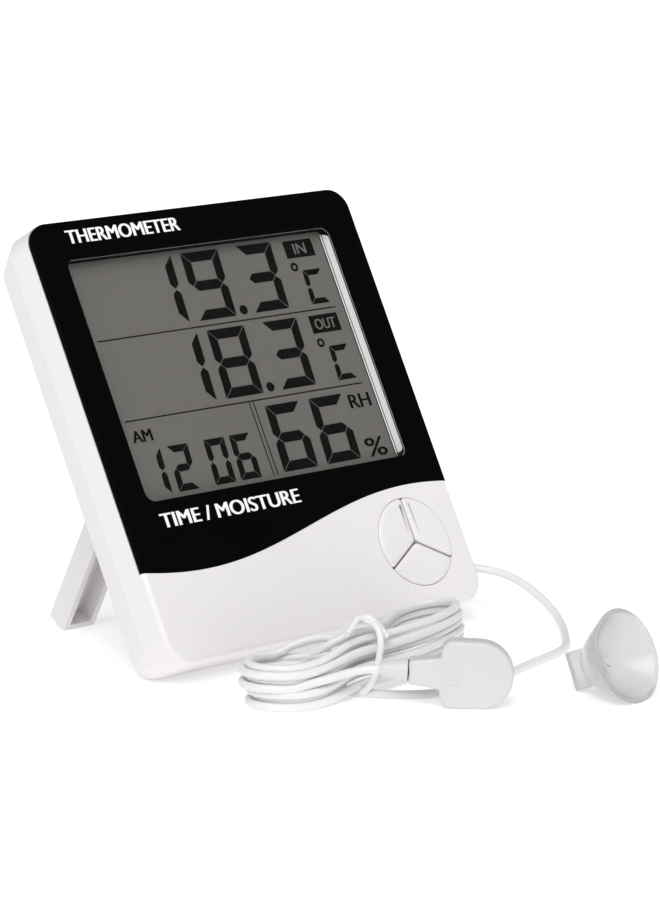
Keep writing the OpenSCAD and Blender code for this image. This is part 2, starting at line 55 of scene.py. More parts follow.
# ---- sizes of the case, in millimetres -------------------------------
CASE_W, CASE_H, CASE_D = 100, 108, 20
TOP_R, LOW_R = 5.5, 6.5                 # corners of the outline
WALL = 2
PARTING = 9                             # depth of the joint between the shells
FILLET, PARTING_CHAMFER = 1.1, 0.12     # edges of the front shell
PLATE_T = 1.5
BEZEL_BACK = 3.2                        # back of the wall that frames the display
WINDOW_HALF, WINDOW_Z0, WINDOW_Z1, WINDOW_R = 41.6, 38.4, 98.6, 2.5
WAVE_Z, WAVE_AMP, WAVE_LOW_X, WAVE_RUN = 25.9, 5.3, -31, 68
KEY_AT = (33.4, 16.9)
KEY_R = 11

# ---- the cable, in metres --------------------------------------------
CABLE_D = 0.002
TIE_D = 0.0016
CABLE_ROUTE = [
    (0.046, -0.018, 0.0105), (0.053, -0.018, 0.0105), (0.058, -0.019, 0.0105),
    (0.062, -0.0225, 0.010), (0.064, -0.0275, 0.0093), (0.0645, -0.033, 0.008),
    (0.064, -0.039, 0.006), (0.062, -0.046, 0.0038), (0.058, -0.053, 0.0021),
    (0.053, -0.059, 0.0012), (0.0475, -0.0645, 0.001), (0.0415, -0.068, 0.001),
    (0.0345, -0.070, 0.001), (0.0265, -0.072, 0.001), (0.018, -0.0745, 0.001),
    (0.008, -0.077, 0.001), (0.0, -0.077, 0.001), (-0.007, -0.0755, 0.001),
    (-0.012, -0.0725, 0.001), (-0.0155, -0.0687, 0.001),
]
TAIL_ROUTE = [
    (-0.031, -0.0669, 0.007), (-0.0275, -0.0679, 0.0076), (-0.024, -0.0696, 0.0082),
    (-0.0209, -0.0724, 0.0086),
]
HANK_TURNS = 7
TIE_AT = (-0.017, -0.0605)              # middle of the coil where it is tied
HANK_BOW_LEFT, HANK_BOW_RIGHT = 13.3, 9.8
HANK_LEFT, HANK_RIGHT = -0.026, 0.0424  # its ends, from the tie
# Wide and narrow turns follow each other; each pair has a value for either kind.
LEFT_FOLD_R, RIGHT_FOLD_R = (0.0081, 0.007), (0.0077, 0.0072)
TIE_HALF = (0.0033, 0.00115)            # distance of the strands from the middle at the tie
NARROW_SHIFT = (0, 0.0012)              # how much further in the left fold lies
LOW_GROUP = 3                           # turns in the lower group at the left end
LOW_GROUP_SHIFT, HIGH_GROUP_SHIFT = 0.001, -0.0003
# Levels are heights of the first turn or of the last, and rises are from turn to turn.
LEFT_RISE, GROUP_GAP, LAST_LEVEL = 0.0014, 0.0017, 0.0053
RIGHT_LEVEL, RIGHT_STAGGER, RIGHT_TILT = 0.0025, 0.0009, 0.0013
TIE_LEVEL, TIE_RISE = 0.00295, 0.0019
ARCH = 0.0022                           # rise of the top turn's far side
HANK_START = [(-0.0185, -0.0645, 0.001), (-0.0212, -0.0600, 0.001), (-0.0250, -0.0550, 0.001)]
HANK_END = (-0.0352, -0.0648, 0.0061)


def placed(name, data):
    """A new object in the scene."""
    obj = bpy.data.objects.new(name, data)
    bpy.context.scene.collection.objects.link(obj)
    return obj


def set_inputs(node, values):
    """Sets a shader node's inputs by name."""
    for socket, value in values.items():
        node.inputs[socket].default_value = value


# ==== camera and light ================================================
EYE = Vector((-0.6218, -0.7032, 0.2316))
VIEW_DIRECTION = Vector((0.66735, 0.71878, -0.19492))
SENSOR_WIDTH, FOCAL_LENGTH = 36, 160.4


def aim(obj, direction):
    """Turns a camera or a light to look along a direction."""
    obj.rotation_euler = direction.to_track_quat("-Z", "Y").to_euler()


def make_camera():
    data = bpy.data.cameras.new("camera")
    data.sensor_fit = "AUTO"
    data.sensor_width = SENSOR_WIDTH
    data.lens = FOCAL_LENGTH
    camera = placed("camera", data)
    camera.location = EYE
    aim(camera, VIEW_DIRECTION)
    bpy.context.scene.camera = camera


def make_sun(name, energy, location, spread):
    """A soft light from one side, as wide in the sky as spread, in degrees."""
    data = bpy.data.lights.new(name, "SUN")
    data.energy = energy
    data.angle = math.radians(spread)
    light = placed(name, data)
    light.location = location
    aim(light, -light.location)


def make_world():
    """Soft studio dome: bright overhead, dimmer low down, with a pale backdrop at the horizon."""
    world = bpy.data.worlds.new("studio")
    world.use_nodes = True
    nodes, links = world.node_tree.nodes, world.node_tree.links
    background = nodes["Background"]
    coords = nodes.new("ShaderNodeTexCoord")
    split = nodes.new("ShaderNodeSeparateXYZ")
    ramp = nodes.new("ShaderNodeValToRGB")
    links.new(coords.outputs["Generated"], split.inputs[0])
    links.new(split.outputs["Z"], ramp.inputs[0])
    links.new(ramp.outputs[0], background.inputs["Color"])
    horizon, overhead = ramp.color_ramp.elements
    horizon.position, horizon.color = 0.16, (0.95, 0.95, 0.95, 1)
    overhead.position, overhead.color = 0.75, (1, 1, 1, 1)
    ramp.color_ramp.elements.new(0.24).color = (0.2, 0.2, 0.205, 1)
    background.inputs["Strength"].default_value = 0.62
    bpy.context.scene.world = world


def make_floor():
    """White table top that melts into the backdrop."""
    mesh = bpy.data.meshes.new("floor")
    far = 8
    mesh.from_pydata([(-far, -far, 0), (far, -far, 0), (far, far, 0), (-far, far, 0)], [],
                     [(0, 1, 2, 3)])
    material = bpy.data.materials.new("floor_white")
    material.use_nodes = True
    set_inputs(material.node_tree.nodes["Principled BSDF"], {
        "Base Color": (0.93, 0.93, 0.93, 1), "Roughness": 0.9, "Specular IOR Level": 0.1,
        "Emission Color": (1, 1, 1, 1), "Emission Strength": 0.3})
    mesh.materials.append(material)
    placed("floor", mesh)


def make_stage():
    make_world()
    make_sun("key", 1.7, (-1.1, -0.9, 1.5), 40)
    make_sun("fill", 0.25, (0.6, -1.4, 0.6), 60)
    make_floor()
    settings = bpy.context.scene.view_settings
    settings.view_transform = "Standard"
    settings.look = "None"


# ==== materials =======================================================
WORN_FROM, WORN_TO = 0.52, 0.62         # how sharp an edge is when wear begins and is full
GLOSS_SPREAD = 0.15
GRAIN_DEPTH = 0.00005


def surface(name, colour, roughness, tone, tone_scale, grain=0.0, grain_scale=2500, wear=0.0,
            **sockets):
    """A moulded surface: slow tone and gloss changes, fine grain and lighter worn edges."""
    material = bpy.data.materials.new(name)
    material.use_nodes = True
    nodes, links = material.node_tree.nodes, material.node_tree.links
    shader = nodes["Principled BSDF"]
    set_inputs(shader, {socket.replace("_", " "): value for socket, value in sockets.items()})
    coords = nodes.new("ShaderNodeTexCoord")

    cloud = nodes.new("ShaderNodeTexNoise")
    set_inputs(cloud, {"Scale": tone_scale, "Detail": 3})
    links.new(coords.outputs["Object"], cloud.inputs["Vector"])
    tint = nodes.new("ShaderNodeMix")
    tint.data_type = "RGBA"
    set_inputs(tint, {"A": (*[max(0, c * (1 - tone)) for c in colour], 1),
                      "B": (*[min(1, c * (1 + tone)) for c in colour], 1)})
    links.new(cloud.outputs["Fac"], tint.inputs["Factor"])
    colour_out = tint.outputs["Result"]

    if wear:
        geometry = nodes.new("ShaderNodeNewGeometry")
        edge = nodes.new("ShaderNodeMapRange")
        set_inputs(edge, {"From Min": WORN_FROM, "From Max": WORN_TO, "To Max": wear})
        links.new(geometry.outputs["Pointiness"], edge.inputs["Value"])
        worn = nodes.new("ShaderNodeMix")
        worn.data_type = "RGBA"
        set_inputs(worn, {"B": (*[min(1, c * 1.25 + 0.03) for c in colour], 1)})
        links.new(edge.outputs["Result"], worn.inputs["Factor"])
        links.new(colour_out, worn.inputs["A"])
        colour_out = worn.outputs["Result"]
    links.new(colour_out, shader.inputs["Base Color"])

    gloss = nodes.new("ShaderNodeMapRange")
    set_inputs(gloss, {"To Min": roughness * (1 - GLOSS_SPREAD),
                       "To Max": min(1, roughness * (1 + GLOSS_SPREAD))})
    links.new(cloud.outputs["Fac"], gloss.inputs["Value"])
    links.new(gloss.outputs["Result"], shader.inputs["Roughness"])

    if grain:
        fine = nodes.new("ShaderNodeTexNoise")
        set_inputs(fine, {"Scale": grain_scale, "Detail": 4})
        links.new(coords.outputs["Object"], fine.inputs["Vector"])
        bump = nodes.new("ShaderNodeBump")
        set_inputs(bump, {"Strength": grain, "Distance": GRAIN_DEPTH})
        links.new(fine.outputs["Fac"], bump.inputs["Height"])
        links.new(bump.outputs["Normal"], shader.inputs["Normal"])
    return material


def make_materials():
    return {
        "body": surface("body_plastic", (0.8, 0.772, 0.777), 0.38, 0.012, 45, grain=0.25,
                        wear=0.15),
        "keys": surface("key_plastic", (0.81, 0.785, 0.79), 0.34, 0.01, 80, grain=0.12),
        "black": surface("faceplate_gloss", (0.0016, 0.0016, 0.0018), 0.12, 0.2, 30, grain=0.02,
                         grain_scale=900, Specular_IOR_Level=0.015),
        "lens": surface("lens_clear", (0.02, 0.02, 0.02), 0.08, 0.1, 40, grain=0.03,
                        grain_scale=600, Alpha=0.06, Specular_IOR_Level=0.15),
        "print": surface("white_print", (0.9, 0.9, 0.9), 0.45, 0.03, 400, grain=0.3),
        # White wall beside the display, made whiter than the case's plastic as a painted highlight.
        "strip": surface("white_strip_painted_highlight", (0.97, 0.97, 0.97), 0.45, 0.01, 400, grain=0.05),
        "lcd": lcd_face(),
        "segment": surface("lcd_segment", (0.004, 0.0032, 0.003), 0.5, 0.1, 300,
                           Specular_IOR_Level=0.05),
        "cable": surface("cable_jacket", (0.79, 0.785, 0.79), 0.36, 0.02, 150, grain=0.2,
                         grain_scale=1200),
        "tie": surface("tie_plastic", (0.83, 0.83, 0.83), 0.3, 0.02, 300, grain=0.1),
        "probe": surface("probe_plastic", (0.65, 0.632, 0.632), 0.42, 0.012, 120, grain=0.3,
                         wear=0.1),
        "sleeve": surface("sleeve_plastic", (0.68, 0.665, 0.665), 0.42, 0.02, 200, grain=0.25),
        # The case's white plastic made darker: painted shade on the stand, which lies in shadow.
        "stand": surface("stand_plastic_painted_shade", (0.72, 0.7, 0.702), 0.4, 0.012, 60, grain=0.25,
                         wear=0.1),
        "cup": surface("cup_soft", (0.8, 0.79, 0.79), 0.2, 0.01, 120, grain=0.05,
                       grain_scale=400, Transmission_Weight=0.55, IOR=1.4),
        "seam": surface("seam_shadow", (0.03, 0.03, 0.03), 0.7, 0.1, 300),
        "green": surface("solder_mask", (0.01, 0.09, 0.03), 0.35, 0.15, 200, grain=0.3),
        "epoxy": surface("epoxy_black", (0.01, 0.01, 0.01), 0.25, 0.2, 300, grain=0.2),
        "steel": surface("plated_steel", (0.62, 0.62, 0.63), 0.28, 0.05, 300, grain=0.3,
                         Metallic=1.0),
        "brass": surface("brass_disc", (0.75, 0.56, 0.24), 0.32, 0.08, 300, grain=0.3,
                         Metallic=1.0),
        "rubber": surface("dark_elastomer", (0.05, 0.05, 0.055), 0.7, 0.1, 300, grain=0.5),
        "silicone": surface("silicone_mat", (0.55, 0.55, 0.53), 0.6, 0.05, 200, grain=0.3),
        "parts": surface("component_body", (0.45, 0.28, 0.12), 0.5, 0.1, 500, grain=0.3),
        "cell": surface("cell_sleeve", (0.03, 0.10, 0.22), 0.25, 0.15, 80, grain=0.1),
        "wire": surface("wire_sleeve", (0.5, 0.03, 0.02), 0.4, 0.1, 300, grain=0.1),
        "inner_white": surface("inner_white", (0.8, 0.8, 0.79), 0.5, 0.03, 150, grain=0.2),
    }


def lcd_face():
    """The display's grey film, with a painted shadow under the top edge of the window."""
    shade_depth, shade_strength, shade_colour = 5, 0.08, (0.03, 0.029, 0.027, 1)
    material = surface("lcd_film", (0.165, 0.157, 0.143), 0.5, 0.05, 25, grain=0.15,
                       grain_scale=5000)
    nodes, links = material.node_tree.nodes, material.node_tree.links
    shader = nodes["Principled BSDF"]
    plain_colour = shader.inputs["Base Color"].links[0].from_socket
    coords = nodes.new("ShaderNodeTexCoord")
    split = nodes.new("ShaderNodeSeparateXYZ")
    # Painted shadow: the film's colour darkens towards the window's top edge.
    fade = nodes.new("ShaderNodeMapRange")
    fade.interpolation_type = "SMOOTHSTEP"
    lower, upper = (CASE @ Vector((0, BEZEL_BACK, z)) for z in (WINDOW_Z1 - shade_depth, WINDOW_Z1))
    set_inputs(fade, {"From Min": lower.z, "From Max": upper.z, "To Max": shade_strength})
    shade = nodes.new("ShaderNodeMix")
    shade.data_type = "RGBA"
    set_inputs(shade, {"B": shade_colour})
    links.new(coords.outputs["Object"], split.inputs[0])
    links.new(split.outputs["Z"], fade.inputs["Value"])
    links.new(fade.outputs["Result"], shade.inputs["Factor"])
    links.new(plain_colour, shade.inputs["A"])
    links.new(shade.outputs["Result"], shader.inputs["Base Color"])
    return material


# ==== mesh helpers ====================================================
def take_mesh(obj):
    """The evaluated mesh of a temporary object, which is then removed."""
    bpy.context.view_layer.update()
    graph = bpy.context.evaluated_depsgraph_get()
    mesh = bpy.data.meshes.new_from_object(obj.evaluated_get(graph))
    bpy.data.objects.remove(obj)
    return mesh


def tidy_mesh(mesh, merge=1e-5):
    """Merged points and outward faces."""
    work = bmesh.new()
    work.from_mesh(mesh)
    bmesh.ops.remove_doubles(work, verts=work.verts, dist=merge)
    bmesh.ops.recalc_face_normals(work, faces=work.faces)
    work.to_mesh(mesh)
    work.free()
    return mesh


def loft(loops):
    """A closed solid through loops with the same number of points."""
    count = len(loops[0])
    verts = [p for loop in loops for p in loop]
    faces = []
    for row in range(len(loops) - 1):
        for i in range(count):
            a, b = row * count + i, row * count + (i + 1) % count
            faces.append((a, b, b + count, a + count))
    faces.append(tuple(range(count)))
    faces.append(tuple(range(len(verts) - 1, len(verts) - count - 1, -1)))
    mesh = bpy.data.meshes.new("loft")
    mesh.from_pydata(verts, [], faces)
    return tidy_mesh(mesh, 1e-4)


def ring(r, steps):
    """Points round a circle about the origin."""
    return [(r * math.cos(2 * math.pi * i / steps), r * math.sin(2 * math.pi * i / steps))
            for i in range(steps)]


def lathe(profile, steps):
    """A solid of revolution about Z from (radius, height) points."""
    return loft([[(a, b, z) for a, b in ring(r, steps)] for r, z in profile])


def joined(*meshes):
    """Several meshes as one."""
    work = bmesh.new()
    for mesh in meshes:
        work.from_mesh(mesh)
    result = bpy.data.meshes.new("joined")
    work.to_mesh(result)
    work.free()
    return result


def carve(mesh, cutters, operation="DIFFERENCE"):
    """The mesh with other solids cut from it, added to it or crossed with it."""
    body = placed("temporary", mesh)
    tools = [placed("temporary", cutter) for cutter in cutters]
    for tool in tools:
        modifier = body.modifiers.new("carve", "BOOLEAN")
        modifier.operation = operation
        modifier.solver = "EXACT"
        modifier.object = tool
    result = take_mesh(body)
    for tool in tools:
        bpy.data.objects.remove(tool)
    return result


def slab(outlines, y0, y1, bevel=0.0, steps=3):
    """A plate between two depths from (x, z) outlines; inner outlines are holes."""
    curve = bpy.data.curves.new("outline", "CURVE")
    curve.dimensions = "2D"
    curve.fill_mode = "BOTH"
    for outline in outlines:
        spline = curve.splines.new("POLY")
        spline.points.add(len(outline) - 1)
        for point, (x, z) in zip(spline.points, outline):
            point.co = (x, z, 0, 1)
        spline.use_cyclic_u = True
    curve.extrude = (y1 - y0) / 2 - bevel
    curve.bevel_depth = bevel
    curve.bevel_resolution = steps
    curve.offset = -bevel
    mesh = take_mesh(placed("temporary", curve))
    mesh.transform(Matrix.Translation((0, (y0 + y1) / 2, 0))
                   @ Matrix.Rotation(math.pi / 2, 4, "X"))
    return tidy_mesh(mesh)


def lettering(text, x, z, y, height, width, bold):
    """Flat letters with their lower left corner at (x, z), capital height and total width.

    They are two copies, set apart sideways by the value of bold.
    """
    curve = bpy.data.curves.new("letters", "FONT")
    curve.body = text
    mesh = take_mesh(placed("temporary", curve))
    xs = [v.co.x for v in mesh.vertices]
    zs = [v.co.y for v in mesh.vertices]
    tall = height / (max(zs) - min(zs))
    wide = (width - bold) / (max(xs) - min(xs))
    for vertex in mesh.vertices:
        vertex.co = (x + (vertex.co.x - min(xs)) * wide, y, z + (vertex.co.y - min(zs)) * tall)
    mesh = tidy_mesh(mesh)
    second = mesh.copy()
    second.transform(Matrix.Translation((bold, -0.003, 0)))
    return joined(mesh, second)


def box_mesh(low, high):
    """A box between two opposite corners."""
    (x0, y0, z0), (x1, y1, z1) = low, high
    return loft([[(x0, y0, z), (x1, y0, z), (x1, y1, z), (x0, y1, z)] for z in (z0, z1)])


def rod_y(x, z, y0, y1, r, steps=48):
    """A round bar along the depth of the case."""
    return loft([[(x + a, y, z + b) for a, b in ring(r, steps)] for y in (y0, y1)])


def rod_x(x0, x1, y, z, r):
    """A round bar across the case."""
    return loft([[(x, y + a, z + b) for a, b in ring(r, 48)] for x in (x0, x1)])


def finish_piece(name, data, material, body="case", place=CASE, replaces=(), crisp=35,
                 bevel=0.0):
    """Places a mesh, gives it its material and lets it ride on its body."""
    data.transform(place)
    data.materials.clear()
    data.materials.append(material)
    for polygon in data.polygons:
        polygon.use_smooth = True
    data.set_sharp_from_angle(angle=math.radians(crisp))
    data.name = name
    obj = placed(name, data)
    if bevel:
        round_off = obj.modifiers.new("edges", "BEVEL")
        round_off.width = bevel * MM
        round_off.segments = 3
        round_off.limit_method = "ANGLE"
        round_off.angle_limit = math.radians(40)
    weighted = obj.modifiers.new("normals", "WEIGHTED_NORMAL")
    weighted.keep_sharp = True
    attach(obj, body)
    if replaces:
        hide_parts(*replaces)


# ==== outlines of the case, as (x, z) points ==========================
def arc(cx, cz, r, start, end, steps=12):
    angles = [math.radians(start + (end - start) * i / steps) for i in range(steps + 1)]
    return [(cx + r * math.cos(a), cz + r * math.sin(a)) for a in angles]


def rounded(x0, z0, x1, z1, r_low, r_top=None):
    """A rectangle with round corners."""
    r_top = r_low if r_top is None else r_top
    return (arc(x1 - r_low, z0 + r_low, r_low, -90, 0)
            + arc(x1 - r_top, z1 - r_top, r_top, 0, 90)
            + arc(x0 + r_top, z1 - r_top, r_top, 90, 180)
            + arc(x0 + r_low, z0 + r_low, r_low, 180, 270))


def case_outline(inset=0.0):
    half = CASE_W / 2 - inset
    return rounded(-half, inset, half, CASE_H - inset, LOW_R - inset, TOP_R - inset)


def wave(x):
    """Height of the line between the black plate and the white lower front."""
    return WAVE_Z - WAVE_AMP * math.cos(math.pi * (x - WAVE_LOW_X) / WAVE_RUN)


def above_wave(inset=0.0, rise=0.0):
    """Outline of the faceplate: the case's outline above the wavy line."""
    half = CASE_W / 2 - inset
    top = [p for p in case_outline(inset) if p[1] > CASE_H / 2]
    steps = 60
    wavy = [(-half + 2 * half * i / steps) for i in range(steps + 1)]
    return top + [(x, wave(x) + rise) for x in wavy]


def window(inset=0.0):
    return rounded(-WINDOW_HALF + inset, WINDOW_Z0 + inset, WINDOW_HALF - inset,
                   WINDOW_Z1 - inset, WINDOW_R)


def circle(cx, cz, r, steps):
    return [(cx + a, cz + b) for a, b in ring(r, steps)]


def at_depth(outline, y):
    return [(x, y, z) for x, z in outline]


# ==== cable and tie ===================================================
def ease(t):
    t = min(1, max(0, t))
    return t * t * (3 - 2 * t)


def on_hank(x, y, z):
    """A point of the coil, from its place along the bent coil and across it."""
    bow = HANK_BOW_LEFT if x < 0 else HANK_BOW_RIGHT
    middle = Vector((TIE_AT[0] + x, TIE_AT[1] + bow * x * x, z))
    return middle + y * Vector((-2 * bow * x, 1, 0)).normalized()


def hank_side(x_from, x_to, side, tie, end, steps, lift=0.0):
    """One side of a turn between the tie, at x = 0, and the fold at one end.

    tie and end are the distance from the middle and the height at each of them.
    """
    far = x_to if abs(x_to) > abs(x_from) else x_from
    made = []
    for i in range(steps):
        x = x_from + (x_to - x_from) * i / steps
        s = ease(x / far)
        bulge = lift * math.sin(math.pi * x / far)
        made.append(on_hank(x, side * (tie[0] + (end[0] - tie[0]) * s),
                            tie[1] + (end[1] - tie[1]) * s + bulge))
    return made


def hank_fold(middle, r, z, start, tilt=0.0):
    """Half a turn at one end, with its near side higher by twice the tilt."""
    steps = 6
    angles = [math.radians(start + 180 * i / steps) for i in range(steps)]
    return [on_hank(middle + r * math.cos(a), r * math.sin(a), z - tilt * math.sin(a))
            for a in angles]


def hank_points():
    """Centre line of the coiled cable, turn by turn, from the bottom up.

    The turns are long flat ovals stacked on each other. They are drawn together by the
    tie and lie in two groups at the left end. The last turn lies between the groups.
    """
    points = [Vector(p) for p in HANK_START]
    last = HANK_TURNS - 1
    for turn in range(HANK_TURNS):
        narrow = turn % 2
        left_r, right_r = LEFT_FOLD_R[narrow], RIGHT_FOLD_R[narrow]
        low = turn < LOW_GROUP
        left_z = CABLE_D / 2 + LEFT_RISE * turn + (0 if low else GROUP_GAP)
        if turn == last:
            left_z = LAST_LEVEL
        right_z = RIGHT_LEVEL + CABLE_D * turn
        left_fold = (HANK_LEFT + left_r + (LOW_GROUP_SHIFT if low else HIGH_GROUP_SHIFT)
                     + NARROW_SHIFT[narrow])
        right_fold = HANK_RIGHT - right_r - RIGHT_STAGGER * turn
        near_tie = (TIE_HALF[narrow], TIE_LEVEL + TIE_RISE * turn)
        if turn:
            arch = ARCH if turn == last - 1 else 0.0
            points += hank_side(0, left_fold, 1, far_tie, (left_r, left_z), 4, arch)
        else:
            points.append(on_hank(left_fold + 0.001, left_r, left_z))
        points += hank_fold(left_fold, left_r, left_z, 90)
        if turn == last:
            return points + [on_hank(left_fold, -left_r, left_z), Vector(HANK_END)]
        points += hank_side(left_fold, 0, -1, near_tie, (left_r, left_z), 4)
        points += hank_side(0, right_fold, -1, near_tie, (right_r, right_z + RIGHT_TILT), 6)
        points += hank_fold(right_fold, right_r, right_z, 270, RIGHT_TILT)
        far_tie = (near_tie[0], near_tie[1] + TIE_RISE / 2)
        points += hank_side(right_fold, 0, 1, far_tie, (right_r, right_z - RIGHT_TILT), 6)


def cable_points():
    """The whole cable: out of the case, round the coil and on to the probe."""
    return [Vector(p) for p in CABLE_ROUTE] + hank_points() + [Vector(p) for p in TAIL_ROUTE]


def round_curve(name, points, diameter):
    """A round cord through the points."""
    curve = bpy.data.curves.new(name, "CURVE")
    curve.dimensions = "3D"
    curve.resolution_u = 5
    curve.bevel_depth = diameter / 2
    curve.bevel_resolution = 4
    curve.use_fill_caps = True
    spline = curve.splines.new("BEZIER")
    spline.bezier_points.add(len(points) - 1)
    for knot, point in zip(spline.bezier_points, points):
        knot.co = point
        knot.handle_left_type = knot.handle_right_type = "AUTO"
    return placed(name, curve)


def make_cable(paint):
    """The whole cable as one cord."""
    cable = round_curve("cable", cable_points(), CABLE_D)
    cable.data.materials.append(paint["cable"])
    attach(cable, "case")
    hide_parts("probe_cable", "cable_hank", "probe_tail")
    return cable


def make_tie(paint):
    """A thin tie drawn round the coil, its ends twisted together on top."""
    near, far, low, top = -0.0073, 0.0054, 0.0009, 0.0166
    mid_y, mid_z = (near + far) / 2, (low + top) / 2
    half_y, half_z = (far - near) / 2, (top - low) / 2
    start, sweep, steps = 100, 340, 20
    squareness, slant = 0.75, 0.25
    hoop = []
    for i in range(steps + 1):
        a = math.radians(start + sweep * i / steps)
        y = mid_y + half_y * math.copysign(abs(math.cos(a)) ** squareness, math.cos(a))
        z = mid_z + half_z * math.copysign(abs(math.sin(a)) ** squareness, math.sin(a))
        hoop.append(on_hank(slant * (z - mid_z), y, z))
    first = [on_hank(-0.0052, mid_y - 0.0022, top - 0.0014), on_hank(-0.0022, mid_y - 0.0008, top),
             on_hank(0.0002, mid_y, top + 0.001)]
    last = [on_hank(0.0016, mid_y - 0.0008, top + 0.0011),
            on_hank(0.0031, mid_y - 0.0028, top - 0.0008),
            on_hank(0.0042, mid_y - 0.0046, top - 0.0034)]
    tie = round_curve("tie", first + hoop + last, TIE_D)
    tie.data.materials.append(paint["tie"])
    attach(tie, "case")
    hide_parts("cable_tie")


# ==== case pieces =====================================================
def front_shell(paint):
    """The white front shell, with a recess for the plate and holes for display and keys."""
    loops = []
    for angle in range(0, 91, 15):
        a = math.radians(angle)
        loops.append(at_depth(case_outline(FILLET * (1 - math.sin(a))), FILLET * (1 - math.cos(a))))
    loops.append(at_depth(case_outline(), PARTING - PARTING_CHAMFER))
    loops.append(at_depth(case_outline(PARTING_CHAMFER), PARTING))
    x, z = KEY_AT
    shell = carve(loft(loops), [
        slab([above_wave(-2, -0.1)], -1, PLATE_T),
        slab([case_outline(WALL)], BEZEL_BACK, PARTING + 1),
        slab([window()], -1, BEZEL_BACK + 1),
        rod_y(x, z, -1, BEZEL_BACK + 1, KEY_R + KEY_HOLE_GAP, steps=96),
        rod_y(x, z, WALL, BEZEL_BACK + 1, KEY_R + FLANGE_OVER + 0.4),
    ])
    finish_piece("front_shell", shell, paint["body"], replaces=["front_case"])


def front_plate(paint):
    plate = slab([above_wave(0.1), window()[::-1]], 0, PLATE_T, bevel=0.35)
    finish_piece("front_plate", plate, paint["black"],
                 replaces=["faceplate"])


def display_window(paint):
    lens = slab([window(0.05)], 0.3, PLATE_T, bevel=0.12)
    finish_piece("display_window", lens, paint["lens"], replaces=["window_lens"])


def window_shade_lining(paint):
    """Dark lining round the window that paints the shade on its walls; down its right side a white
    strip, whiter than the case as a painted highlight, with a thin white line as a painted
    reflection of the lens edge and fine dark lines as painted shadow.
    """
    lining_t = 0.22
    # Black ring on the window's walls: painted shade where the walls lie in shadow.
    lining = slab([window(-0.01), window(lining_t)[::-1]], PLATE_T, BEZEL_BACK - 0.02)
    finish_piece("window_shade_lining", lining, paint["black"])
    z0, z1 = WINDOW_Z0 + 1.6, WINDOW_Z1 - 1.2
    edge, face = WINDOW_HALF - lining_t - 0.03, BEZEL_BACK - 0.05
    strip_w, reflection_line, dark_line_w, dark_lines = 0.55, (1.25, 0.85), 0.28, (1.53, 0.84)
    section = [(edge, PLATE_T + 0.1), (edge - strip_w, face), (edge, face)]
    strip = loft([[(x, y, z) for x, y in section] for z in (z0, z1)])
    # Thin white line: a painted reflection of the lens edge.
    line = box_mesh((edge - reflection_line[0], face - 0.02, z0),
                    (edge - reflection_line[1], face + 0.03, z1))
    finish_piece("window_strip", joined(strip, line), paint["strip"])
    # Fine dark lines: painted shadow beside the display's right edge.
    shadow = [slab([bar(edge - x, z0, edge - x + dark_line_w, z1)], face - 0.01, face + 0.02)
              for x in dark_lines]
    finish_piece("window_shadow_lines", joined(*shadow), paint["segment"])


def labels(paint):
    """Generic words printed on the faceplate."""
    print_y, boldness = -0.02, 0.35
    top = lettering("THERMOMETER", -39.5, 102.2, print_y, 3.4, 34.5, boldness)
    low = lettering("TIME / MOISTURE", -40, 31.7, print_y, 3.5, 43, boldness)
    finish_piece("labels", joined(top, low), paint["print"])


# ==== the display's figures ===========================================
FIGURES = {"0": "abcdef", "1": "bc", "2": "abged", "3": "abgcd", "6": "afgecd", "8": "abcdefg",
           "9": "abcdfg", "C": "afed"}
FIGURE_SLANT = math.tan(math.radians(3))
STROKE, FINE_STROKE, THIN_STROKE = 2.5, 1.7, 1.45
# The large readings are (bottom, top, value); the other figures (value, left, right).
TEMPERATURES = [(80.2, 97.4, "193"), (60.3, 77.6, "183")]
TEMPERATURE_X = [(-18, -8.6), (-5.5, 6.2), (12.1, 23.2)]
UNIT_X, UNIT_H = (30.5, 36.6), 8.9
POINT_X, POINT_R = 8.4, 1.2
DEGREE_X, DEGREE_RISE, DEGREE_R, DEGREE_HOLE_R = 28.7, 1.4, 1.15, 0.55
CLOCK_Z = (40.2, 51.4)
CLOCK = [("1", -36.5, -30.9), ("2", -28.8, -22.5), ("0", -17.5, -11.2), ("6", -9.5, -3.2)]
HUMIDITY_Z = (40.3, 57)
HUMIDITY = [("6", 4.2, 15.1), ("6", 18.2, 29.2)]
# Dividing lines and the dark fields of the pale marks are (left, bottom, right, top).
FIELDS = [(-38, 78.65, 37.3, 78.95), (-38, 58.65, 37.3, 58.95), (0.2, 40, 0.45, 58.6),
          (1.45, 40, 1.7, 58.6), (27.5, 92.5, 36.8, 97), (27.5, 72.8, 36.8, 77.4)]
# Marks are (text, left, bottom, height, width).
DARK_MARKS = [("AM", -37.5, 53.4, 2.9, 6.1), ("RH", 31, 52.8, 3.5, 7), ("%", 31.3, 40.1, 4.8, 6.6)]
PALE_MARKS = [("IN", 30.2, 93.4, 2.7, 4), ("OUT", 28.8, 73.7, 2.7, 6.8)]


